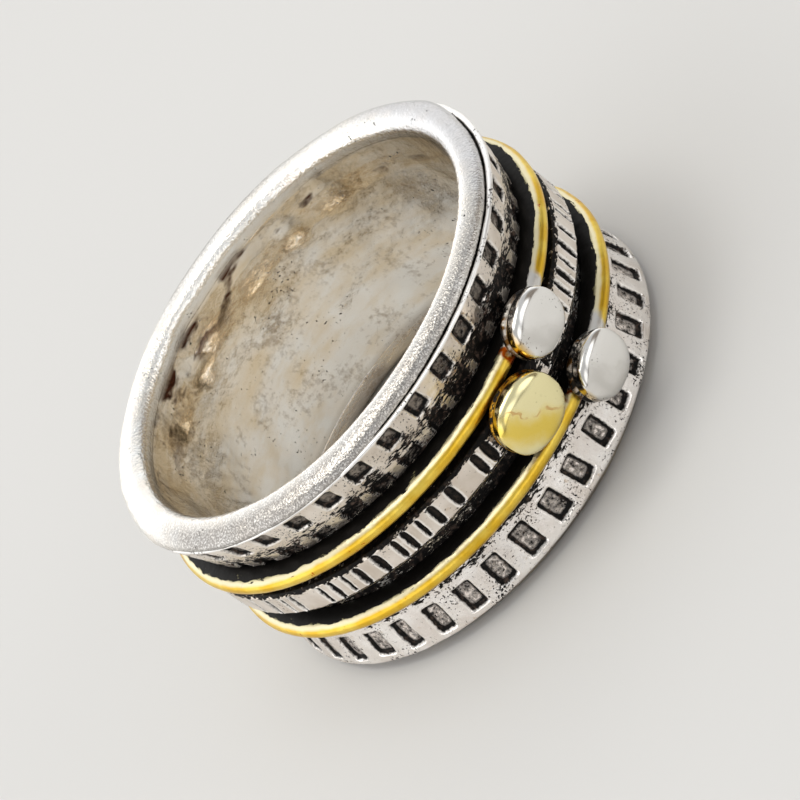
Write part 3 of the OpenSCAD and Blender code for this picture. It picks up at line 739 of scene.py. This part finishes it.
def makeBeadMetal(name):
    look = beadLooks[name]
    material, tree, spot = newMaterial("polished" + name[0].upper() + name[1:])
    local = addNode(tree, "VectorMath SUBTRACT", spot, beadMiddle(name))
    warp = addNode(tree, "TexNoise", spot, {"Scale": 0.9, "Detail": 3.0})
    down = addNode(tree, "VectorMath DOT_PRODUCT", local, beadLightToShade, out="Value")
    down = addNode(tree, "Math MULTIPLY_ADD", warp, 1.6, down)
    low = addNode(tree, "MapRange", down, 0.60, 1.45, interpolation_type="SMOOTHSTEP")
    pale = addNode(tree, "MapRange", down, 2.3, 1.6)
    low = addNode(tree, "Math MULTIPLY", low, pale)
    # painted light on the top tone, painted shade on the lower tone
    colour = addNode(tree, "Mix", low, {6: linear(look["top"]), 7: linear(look["low"])}, data_type="RGBA",
                     out=2)
    # a fine broken line where the painted light and shade tones meet
    line = addNode(tree, "Math COMPARE", down, 0.95, 0.05)
    breaks = patchShare(tree, spot, {"Scale": 3.0, "Detail": 4.0}, 0.40, 0.60, 0.0, 0.45)
    line = addNode(tree, "Math MULTIPLY", line, breaks)
    side = addNode(tree, "VectorMath DOT_PRODUCT", local, look["side"], out="Value")
    side = addNode(tree, "Math MULTIPLY_ADD", warp, 0.7, side)
    side = addNode(tree, "MapRange", side, look["start"] + 0.3, look["start"] + 0.6)
    pit = pitMask(tree, spot, 0.10, 0.01, 13.0)
    for share, tone in ((line, "line"), (side, "bleed"), (pit, "pit")):
        colour = addNode(tree, "Mix", share, {6: colour, 7: linear(look[tone])}, data_type="RGBA", out=2)
    lumps = addNode(tree, "TexNoise", spot, {"Scale": 0.7, "Detail": 0.5})
    height = addNode(tree, "Math MULTIPLY", lumps, 0.12)
    height = addNode(tree, "Math MULTIPLY_ADD", pit, -0.01, height)
    return closeMetal(material, height, colour, look["roughness"], 1.0, 0.5)


# Solder under a bead, run and cooled rough: its metal's colour with burnt
# brown and black flux in the hollows.
def makeSolder(name, metal, burnt):
    material, tree, spot = newMaterial(name)
    cloud = addNode(tree, "TexNoise", spot, {"Scale": 2.2, "Detail": 5.0, "Roughness": 0.6})
    brown = addNode(tree, "MapRange", cloud, 0.46, 0.58)
    dark = sootMask(tree, spot, 0.46, 15.0, size=0.2)
    colour = linear(metal)
    for share, tone in ((brown, burnt), (dark, gold["black"])):
        colour = addNode(tree, "Mix", share, {6: colour, 7: linear(tone)}, data_type="RGBA", out=2)
    purity = addNode(tree, "MapRange", dark, 0.0, 1.0, 1.0, 0.0)
    height = addNode(tree, "Math MULTIPLY", cloud, 0.12)
    return closeMetal(material, height, colour, 0.32, purity, 0.2)


bandSizes = {
    "holeR": 9.0, "floorR": 9.62, "rollR": 0.56, "endZ": 5.195, "edgeZ": 4.675,
    "frontStepR": 9.92, "frontEdgeR": 10.60, "frontWallZ": 2.355,
    "backStepR": 9.98, "backEdgeR": 10.48, "backWallZ": -2.475,
    "edgeSoft": 0.12, "foldR": 10.06, "foldDepth": 0.25, "sink": 0.03,
    "mergedRoll": 0.82, "foldedRoll": 0.24,  # how much wider than a half circle the front roll's outer side is
    "foldMiddle": 40, "foldReach": 42, "foldFade": 22,  # degrees
    "lump": 2.1, "lumpHeight": 0.26, "markDepth": 0.17, "shoulderLump": 1.6, "shoulderLumpHeight": 0.08,
    "linerStep": 0.145, "linerColumns": 530, "shoulderStep": 0.07, "shoulderColumns": 912,
}

# the wall inside, from the front roll to the back one: radius, height, rounding
boreProfile = [(9.12, 4.25, 0.35), (9.13, 3.40, 0.6), (9.0, 2.45, 0.9), (9.0, 1.2, 0.5), (9.02, -2.0, 0.8),
               (9.07, -4.2, 0.4)]
# hammer marks in that wall: degrees round, height, radius
hammerMarks = [(147, 3.1, 1.25), (162, 2.9, 0.95), (178, 3.3, 1.5), (199, 3.9, 1.5), (207, 2.8, 1.0),
               (224, 3.0, 1.1)]

# how each silver piece is finished: colours, shares of pits, flecks and ochre,
# and heights in millimetres of what the bump shows
rollLook = {"bright": "#fffefa", "worn": "#fcf6ec", "pits": 0.04, "pitSize": 0.14, "flecks": 0.45,
            "bite": 0.015, "lumps": 0.03, "grain": 0.035, "roughness": 0.18}
frontLook = {"bright": "#f2e9df", "worn": "#dbcfc1", "floor": "#968d84", "pits": 0.11, "pitSize": 0.10,
             "flecks": 0.8, "ochre": 0.3, "rimShine": 0.6, "bite": 0.03, "lumps": 0.03, "relief": 0.03,
             "roughness": 0.3}
backLook = {"bright": "#fdf9f5", "worn": "#e8dfd7", "floor": "#f0e6de", "pits": 0.12, "pitSize": 0.10,
            "flecks": 0.5, "ochre": 0.4, "rimShine": 0.7, "bite": 0.02, "lumps": 0.03, "relief": 0.05,
            "roughness": 0.27}
tickedLook = {"bright": "#efe6dc", "worn": "#d8ccbe", "floor": "#39332f", "pits": 0.06, "pitSize": 0.09,
              "flecks": 0.3, "ochre": 0.25, "rimShine": 0.9, "bite": 0.015, "lumps": 0.02, "relief": 0.02,
              "roughness": 0.3}

dentSizes = {
    "count": 38, "firstDegrees": 0.5, "width": 0.88, "depth": 0.17, "corner": 0.11, "softness": 0.05,
    "frontLow": 3.615, "frontHigh": 4.515, "notchHigh": 2.975, "notchFloor": 9.75, "backLow": -4.335,
    "backHigh": -3.035,
}


def makeChart(name, points, columns):
    # loose points that a tree reads its marks' places and sizes from
    mesh = bpy.data.meshes.new(name)
    mesh.from_pydata(points, [], [])
    for label, values in columns.items():
        mesh.attributes.new(label, "FLOAT", "POINT").data.foreach_set("value", values)
    chart = bpy.data.objects.new(name, mesh)
    bpy.context.scene.collection.objects.link(chart)
    return chart


def ringPoint(degrees, r, z):
    turn = math.radians(degrees)
    return Vector((r * math.sin(turn), -r * math.cos(turn), z)) * mm


def rollCorners(side):
    # the rounded roll along one end, from the finger hole to the fold outside it
    b = bandSizes
    r, turns = b["rollR"], [math.radians(180 - 9 * k) for k in range(25)]
    return [(b["holeR"] + r + r * math.cos(turn), side * (b["endZ"] - r + r * math.sin(turn)), 0)
            for turn in turns]


def buildBand():
    b, d = bandSizes, dentSizes
    low, high = rollCorners(-1), rollCorners(1)
    corners = high + [(b["floorR"], b["frontWallZ"] + 0.4, 0), (b["floorR"], b["backWallZ"] - 0.4, 0)] + low[::-1]
    # the wall is hammered in full, the rolls a third as much
    liner = roundedSection(corners + boreProfile[::-1], b["linerStep"],
                           lambda r, z: 1.0 if r < 9.2 and abs(z) < 4.2 else 0.3)
    marks = makeChart("hammerMarks", [ringPoint(turn, b["holeR"], z) for turn, z, reach in hammerMarks],
                      {"reach": [reach * mm for turn, z, reach in hammerMarks]})
    rollSteps = {"Middle Radius": (b["holeR"] + b["rollR"]) * mm, "Middle Height": (b["endZ"] - b["rollR"]) * mm,
                 "Merged": b["mergedRoll"], "Folded": b["foldedRoll"],
                 "Fold Middle": math.radians(b["foldMiddle"]), "Fold Reach": math.radians(b["foldReach"]),
                 "Fade": math.radians(b["foldFade"])}
    growPiece("liner", liner, [
        (sweepTree, {"Columns": b["linerColumns"]}), (rollTree, rollSteps),
        (facetTree, {"Depth": b["markDepth"] * mm, "Chart": marks}),
        (hammerTree, {"Lump Size": b["lump"] * mm, "Height": b["lumpHeight"] * mm, "Detail": 0.6, "Seed": 2.0})],
        makeSilver("hammeredSilverBore", rollLook, channelSoot, tint=boreTintAndShade), "band", "silver", "band")
    bpy.data.objects.remove(marks)
    hidden, fold, edgeZ = b["floorR"] - b["sink"], b["foldR"], b["edgeZ"]
    front = [(hidden, b["frontWallZ"], 0), (hidden, edgeZ - 0.6, 0), (fold, edgeZ - b["foldDepth"], 0),
             (fold + 0.30, edgeZ - 0.02, 0.08), (b["frontEdgeR"], edgeZ, b["edgeSoft"]),
             (b["frontStepR"], b["frontWallZ"], 0.05)]
    back = [(hidden, b["backWallZ"], 0), (hidden, -edgeZ + 0.6, 0), (fold, -edgeZ + b["foldDepth"], 0),
            (fold + 0.2, -edgeZ + 0.02, 0.08), (b["backEdgeR"], -edgeZ, b["edgeSoft"]),
            (b["backStepR"], b["backWallZ"], 0.05)]
    every = {"Count": d["count"], "First": math.radians(d["firstDegrees"]), "Width": d["width"] * mm,
             "Depth": d["depth"] * mm, "Corner": d["corner"] * mm, "Softness": d["softness"] * mm,
             "Floor Radius": d["notchFloor"] * mm}
    frontSilver = makeSilver("blackenedSilverFront", frontLook, frontShoulderSoot, recess="dent", tint=edgeHighlight)
    backSilver = makeSilver("blackenedSilverBack", backLook, backShoulderSoot, recess="dent")
    # each row of dents: low end, high end, seed, and 1 where it is the shoulder's first
    for name, section, seed, metal, rows in (
            ("frontShoulder", front[::-1], 4.0, frontSilver,
             ((d["frontLow"], d["frontHigh"], 3, 1.0), (b["frontWallZ"] - 0.5, d["notchHigh"], 8, 0.0))),
            ("backShoulder", back, 6.0, backSilver, ((d["backLow"], d["backHigh"], 5, 1.0),))):
        steps = [(sweepTree, {"Columns": b["shoulderColumns"]}),
                 (hammerTree, {"Lump Size": b["shoulderLump"] * mm, "Height": b["shoulderLumpHeight"] * mm,
                               "Detail": 2.0, "Seed": seed})]
        steps += [(dentTree, {**every, "Low": low * mm, "High": high * mm, "Seed": rowSeed, "Fresh": fresh})
                  for low, high, rowSeed, fresh in rows]
        growPiece(name, roundedSection(section, b["shoulderStep"]), steps, metal, "band", "silver", "band")


looseSizes = {
    "insideR": 9.69, "roundCrestR": 10.73, "roundW": 0.96, "roundSide": 0.16, "frontZ": 1.715, "backZ": -1.845,
    "flatOutR": 10.55, "flatW": 1.43, "middleZ": 0.31, "bevelW": 0.15, "bevelDrop": 0.12, "bevelSoft": 0.05,
    "lump": 1.5, "lumpHeight": 0.05,
    "roundStep": 0.09, "roundColumns": 720, "flatStep": 0.06, "flatColumns": 1200,
}


def roundRingSection(z):
    s = looseSizes
    foot, half = s["insideR"] + s["roundSide"], s["roundW"] / 2
    crown = []
    for k in range(25):
        turn = math.radians(-90 + 7.5 * k)
        crown.append((foot + (s["roundCrestR"] - foot) * math.cos(turn), z + half * math.sin(turn), 0))
    corners = [(s["insideR"], z - half, 0)] + crown + [(s["insideR"], z + half, 0)]
    return roundedSection(corners, s["roundStep"])


# Tick marks of the middle ring as degrees from the gold bead, share of the
# full width, share of the full length, lean in degrees.
tickSizes = {"width": 0.43, "length": 1.22, "depth": 0.15, "softness": 0.04}
tickChart = [
    (12.6, 0.5, 0.9, 6), (16.2, 0.7, 0.95, 5), (19.5, 0.45, 0.9, 8), (22.8, 0.6, 1, 4),
    (26.4, 0.5, 0.9, 6), (30.3, 0.62, 0.95, 3), (33.8, 0.85, 1, 2), (37.8, 0.5, 0.9, 5),
    (42, 0.95, 1, 4), (47.5, 0.8, 0.95, 3), (53.4, 0.5, 0.9, 2), (56.6, 0.6, 0.95, 4),
    (63.2, 0.7, 1, 3), (67.4, 0.45, 0.85, 6), (70.6, 0.8, 1, 4), (78.5, 0.95, 1, 2),
    (82.8, 0.55, 0.9, 5), (86.2, 0.75, 0.95, 4), (92.9, 0.6, 1, 3), (96.3, 0.9, 1, 2),
    (100.9, 0.5, 0.85, 6), (107.6, 0.8, 0.95, 4), (111.5, 0.65, 1, 5), (119.2, 1, 1, 3),
    (124.1, 0.5, 0.9, 4), (127.6, 0.7, 0.95, 2), (131.2, 0.5, 0.9, 6), (138.6, 0.85, 1, 3),
    (143.2, 0.6, 0.95, 5), (146.4, 0.8, 1, 4), (154.3, 0.5, 0.85, 2), (157.5, 0.9, 1, 4),
    (162.4, 0.65, 0.95, 5), (169.8, 0.75, 1, 3), (173.6, 0.5, 0.9, 6), (177.1, 0.95, 1, 2),
    (185.4, 0.6, 0.95, 4), (188.8, 0.8, 1, 5), (193.3, 0.5, 0.85, 3), (200.2, 0.9, 1, 4),
    (204.7, 0.55, 0.9, 2), (208.1, 0.7, 0.95, 5), (215.9, 1, 1, 3), (220.4, 0.6, 0.9, 4),
    (223.8, 0.8, 1, 6), (231.1, 0.5, 0.9, 2), (234.4, 0.75, 0.95, 4), (238.9, 0.55, 1, 5),
    (246.7, 0.85, 1, 3), (250.6, 0.5, 0.9, 4), (254.2, 0.9, 1, 2), (261.8, 0.65, 0.95, 5),
    (265.2, 0.5, 0.85, 3), (274.2, 0.4, 0.9, 4), (280.3, 0.7, 0.95, 3), (285.7, 0.4, 0.9, 2),
    (289.2, 0.6, 0.95, 4), (298.2, 0.5, 0.95, 3), (301.7, 0.7, 1, 5), (305.5, 0.45, 0.9, 4),
    (309.5, 0.85, 1, 3), (315.2, 0.9, 1, 2), (320.7, 0.7, 0.95, 4), (323.8, 0.75, 1, 3),
    (327.8, 0.5, 0.9, 5), (332, 0.85, 1, 4), (337.6, 1, 1, 3), (346.2, 0.9, 1, 4),
    (349.6, 1, 1, 4),
]


def makeTickChart():
    # one point for each tick mark, at its place on the middle ring
    s, t = looseSizes, tickSizes
    turns = [beadSizes["goldBead"]["degrees"] + row[0] for row in tickChart]
    return makeChart("tickChart", [ringPoint(turn, s["flatOutR"], s["middleZ"]) for turn in turns], {
        "tickAngle": [math.radians(turn) for turn in turns],
        "tickWidth": [t["width"] * mm * row[1] for row in tickChart],
        "tickLength": [t["length"] * mm * row[2] for row in tickChart],
        "tickLean": [math.radians(row[3]) for row in tickChart]})


def buildLooseRings():
    s, t = looseSizes, tickSizes
    for name, z, body, seed in (("frontGoldRing", s["frontZ"], "front", 11.0),
                                ("backGoldRing", s["backZ"], "back", 12.0)):
        metal = makeGoldRing("polished" + name[0].upper() + name[1:], z,
                             beadSizes[body + "SilverBead"]["degrees"])
        lumps = {"Lump Size": s["lump"] * mm, "Height": s["lumpHeight"] * mm, "Detail": 2.0, "Seed": seed}
        growPiece(name, roundRingSection(z), [(sweepTree, {"Columns": s["roundColumns"]}), (hammerTree, lumps)],
                  metal, body, "gold", body + "_spinner")
    half, bevelR = s["flatW"] / 2, s["flatOutR"] - s["bevelDrop"]
    low, high = s["middleZ"] - half, s["middleZ"] + half
    soft = s["bevelSoft"]
    flat = [(s["insideR"], low, 0), (bevelR, low, soft), (s["flatOutR"], low + s["bevelW"], soft),
            (s["flatOutR"], high - s["bevelW"], soft), (bevelR, high, soft), (s["insideR"], high, 0)]
    chart = makeTickChart()
    ticks = {"Depth": t["depth"] * mm, "Softness": t["softness"] * mm, "Middle": s["middleZ"] * mm,
             "Surface Radius": s["flatOutR"] * mm, "Chart": chart}
    ticked = makeSilver("tickedSilverRing", tickedLook, middleRingSoot, recess="tick")
    growPiece("tickedRing", roundedSection(flat, s["flatStep"], lambda r, z: 1.0 if r > 10.3 else 0.0),
              [(sweepTree, {"Columns": s["flatColumns"]}), (tickTree, ticks)],
              ticked, "middle", "silver", "middle_spinner")
    bpy.data.objects.remove(chart)


def loftRings(name, rings):
    # closed skin through rings of points, with a point in the middle of each end
    columns = len(rings[0])
    points = [p for ring in rings for p in ring]
    faces = []
    for start in range(0, (len(rings) - 1) * columns, columns):
        for k in range(columns):
            after = (k + 1) % columns
            faces.append((start + k, start + columns + k, start + columns + after, start + after))
    for ring, base, turned in ((rings[0], 0, False), (rings[-1], (len(rings) - 1) * columns, True)):
        middle = len(points)
        points.append(sum(ring, Vector()) / columns)
        for k in range(columns):
            after = (k + 1) % columns
            faces.append((middle, base + after, base + k) if turned else (middle, base + k, base + after))
    shape = bpy.data.meshes.new(name)
    shape.from_pydata([p * mm for p in points], [], faces)
    return shape


def squared(across, along, power):
    # how far out a direction is on an outline between an oval and a box
    return (abs(across) ** power + abs(along) ** power) ** (1 / power)


def beadAxes(name):
    # directions round the band, along the finger hole and away from it
    turn = math.radians(beadSizes[name]["degrees"])
    across, down = math.sin(turn), math.cos(turn)
    return Vector((down, across, 0)), Vector((0, 0, 1)), Vector((across, -down, 0))


def buildBead(name, material, slot):
    b, shape = beadSizes[name], beadShape
    around, along, away = beadAxes(name)
    rows, columns = shape["rows"], shape["columns"]
    rings = []
    for i in range(1, rows):
        lift = math.pi * i / rows
        ring = []
        for k in range(columns):
            turn = 2 * math.pi * k / columns
            ball = Vector((math.cos(turn) * math.sin(lift), math.sin(turn) * math.sin(lift), math.cos(lift)))
            spread = squared(ball.x, ball.y, shape["outline"])
            ball /= squared(spread, ball.z, shape["dome"])  # a flat face with quick shoulders
            dull = 1 + shape["lumps"] * noise.noise(ball * 1.3 + Vector((b["z"], 0, 0)))
            ring.append(beadMiddle(name) + (around * (ball.x * b["half"][0]) + along * (ball.y * b["half"][1])
                                            + away * (ball.z * b["half"][2])) * dull)
        rings.append(ring)
    return finishPiece(name, loftRings(name, rings), material, b["body"], slot, b["body"] + "_spinner")


# Solder foot: a neck on the ring, then a rough cushion under the bead; share
# of the way from the foot's underside to its top, share of the bead's outline.
footLayers = [(0.0, 0.84), (0.10, 0.93), (0.35, 0.98), (0.62, 0.99), (0.85, 0.94), (1.0, 0.84)]
footSizes = {"neckR": 10.30, "sink": 0.03, "top": 0.25, "lumps": 0.05, "lumpLimit": 0.02, "columns": 96}


def buildFoot(name, material, slot):
    b, f = beadSizes[name], footSizes
    around, along, away = beadAxes(name)
    top = b["r"] - f["top"]
    layers = [(f["neckR"], b["neck"]), (b["footR"] - f["sink"], b["neck"])]
    layers += [(b["footR"] + share * (top - b["footR"]), (size, size)) for share, size in footLayers]
    rings = []
    for r, size in layers[::-1]:
        ring = []
        for k in range(f["columns"]):
            turn = 2 * math.pi * k / f["columns"]
            flat = squared(math.cos(turn), math.sin(turn), beadShape["outline"])
            spot = (around * (math.cos(turn) / flat * b["half"][0] * size[0])
                    + along * (b["z"] + math.sin(turn) / flat * b["half"][1] * size[1]) + away * r)
            lump = noise.noise(spot * 1.7) * f["lumps"]
            ring.append(spot + (spot - beadMiddle(name)).normalized() * min(lump, f["lumpLimit"]))
        rings.append(ring)
    return finishPiece(name + "Foot", loftRings(name + "Foot", rings), material, b["body"], slot,
                       b["body"] + "_spinner")


buildBand()
print("band built")
buildLooseRings()
print("loose rings built")
solders = {"silver": makeSolder("meltedSilverSolder", "#cfc8be", "#6b4a22"),
           "gold": makeSolder("meltedGoldSolder", "#d9a63a", "#7a4310")}
for beadName, slot in (("frontSilverBead", "silver"), ("backSilverBead", "silver"), ("goldBead", "gold")):
    buildBead(beadName, makeBeadMetal(beadName), slot)
    buildFoot(beadName, solders[slot], slot)
print("beads built")

# The camera stands where the photograph was taken from, turned on its axis as
# the photograph is: right, up and back are its own directions.
photoCamera = {
    "lens": 208.8, "place": (0.0, -0.164032, 0.091909),
    "right": (0.5870, -0.3989, -0.7045), "up": (0.8096, 0.2901, 0.5103), "back": (0.0008, -0.8699, 0.4933),
}


def addCamera():
    c = photoCamera
    data = bpy.data.cameras.new("photoCamera")
    data.lens, data.sensor_width = c["lens"], 36.0
    data.clip_start, data.clip_end = 0.01, 10.0
    camera = bpy.data.objects.new("photoCamera", data)
    turn = Matrix((c["right"], c["up"], c["back"])).transposed().to_quaternion().to_matrix()
    camera.matrix_world = Matrix.Translation(c["place"]) @ turn.to_4x4()
    bpy.context.scene.collection.objects.link(camera)
    bpy.context.scene.camera = camera


paleBoard = {"side": 2.0, "z": -5.22, "colour": "#d2d1cf", "roughness": 0.9}  # metres, millimetres


def addFloor():
    mesh = bpy.data.meshes.new("paleBoard")
    side, z = paleBoard["side"], paleBoard["z"] * mm
    mesh.from_pydata([(-side, -side, z), (side, -side, z), (side, side, z), (-side, side, z)], [],
                     [(0, 1, 2, 3)])
    board = bpy.data.objects.new("paleBoard", mesh)
    bpy.context.scene.collection.objects.link(board)
    material = bpy.data.materials.new("mattPaleBoard")
    material.use_nodes = True
    shader = material.node_tree.nodes["Principled BSDF"]
    shader.inputs["Base Color"].default_value = linear(paleBoard["colour"])
    shader.inputs["Roughness"].default_value = paleBoard["roughness"]
    mesh.materials.append(material)


# name: place in millimetres, size in millimetres, power in watts, colour
studioLights = {
    "keySoftBox": ((-60, 30, 220), 70, 0.05, "#fffdf8"),
}

# The sky is one soft tone with wide patches of light and shade in it: heading,
# cosines where a patch starts and is full, colour, brightness.
skyTone = ("#f3f4f6", 0.64)
skyPatches = [
    ((-0.05, 0.05, 1.00), 0.86, 0.970, "#fffdf8", 2.4),
    ((-0.45, 0.80, 0.35), 0.55, 0.92, "#ffffff", 1.25),
    ((0.45, 0.85, 0.20), 0.75, 0.95, "#ffffff", 1.10),
    ((-1.00, 0.10, 0.20), 0.70, 0.95, "#ffffff", 1.50),
    ((-0.19, 0.97, 0.13), 0.94, 0.985, "#ffffff", 1.7),
    ((1.0, -0.15, 0.05), 0.80, 0.95, "#a49a90", 0.7),
    ((-0.80, -0.50, 0.27), 0.90, 0.985, "#ffffff", 1.5),
    ((0.05, -1.00, 0.22), 0.90, 0.980, "#ffffff", 1.5),
    ((0.75, -0.60, 0.27), 0.90, 0.985, "#ffffff", 1.5),
]

# A dim line along the horizon in front, as the far side of the room is.
horizonLine = {"height": 0.06, "half": 0.02, "soft": 0.06, "colour": "#6a625a", "share": 0.75}


def addLights():
    for name, (place, size, power, colour) in studioLights.items():
        data = bpy.data.lights.new(name, "AREA")
        data.shape, data.size = "DISK", size * mm
        data.energy, data.color = power, linear(colour)[:3]
        light = bpy.data.objects.new(name, data)
        light.location = Vector(place) * mm
        light.rotation_mode = "QUATERNION"
        light.rotation_quaternion = (-Vector(place)).to_track_quat("-Z", "Y")
        bpy.context.scene.collection.objects.link(light)
    world = bpy.data.worlds.new("paleStudio")
    bpy.context.scene.world = world
    world.use_nodes = True
    tree = world.node_tree
    tree.nodes.clear()
    heading = addNode(tree, "TexCoord", out="Generated")
    tint = [c * skyTone[1] for c in linear(skyTone[0])[:3]] + [1.0]
    for place, start, full, colour, brightness in skyPatches:
        near = addNode(tree, "VectorMath DOT_PRODUCT", heading, Vector(place).normalized(), out="Value")
        near = addNode(tree, "MapRange", near, start, full, interpolation_type="SMOOTHSTEP")
        patch = [c * brightness for c in linear(colour)[:3]] + [1.0]
        tint = addNode(tree, "Mix", near, {6: tint, 7: patch}, data_type="RGBA", out=2)
    h = horizonLine
    parts = addNode(tree, "SeparateXYZ", heading, out=None)
    away = addNode(tree, "Math SUBTRACT", parts.outputs[2], h["height"])
    away = addNode(tree, "Math ABSOLUTE", away)
    line = addNode(tree, "MapRange", away, h["half"] + h["soft"], h["half"], 0.0, h["share"],
                   interpolation_type="SMOOTHSTEP")
    front = addNode(tree, "MapRange", parts.outputs[1], 0.1, -0.3)
    line = addNode(tree, "Math MULTIPLY", line, front)
    tint = addNode(tree, "Mix", line, {6: tint, 7: linear(h["colour"])}, data_type="RGBA", out=2)
    sky = addNode(tree, "Background", {"Color": tint})
    addNode(tree, "OutputWorld", {"Surface": sky})
    bpy.context.scene.view_settings.view_transform = "Standard"


addCamera()
addFloor()
addLights()
print("studio set")
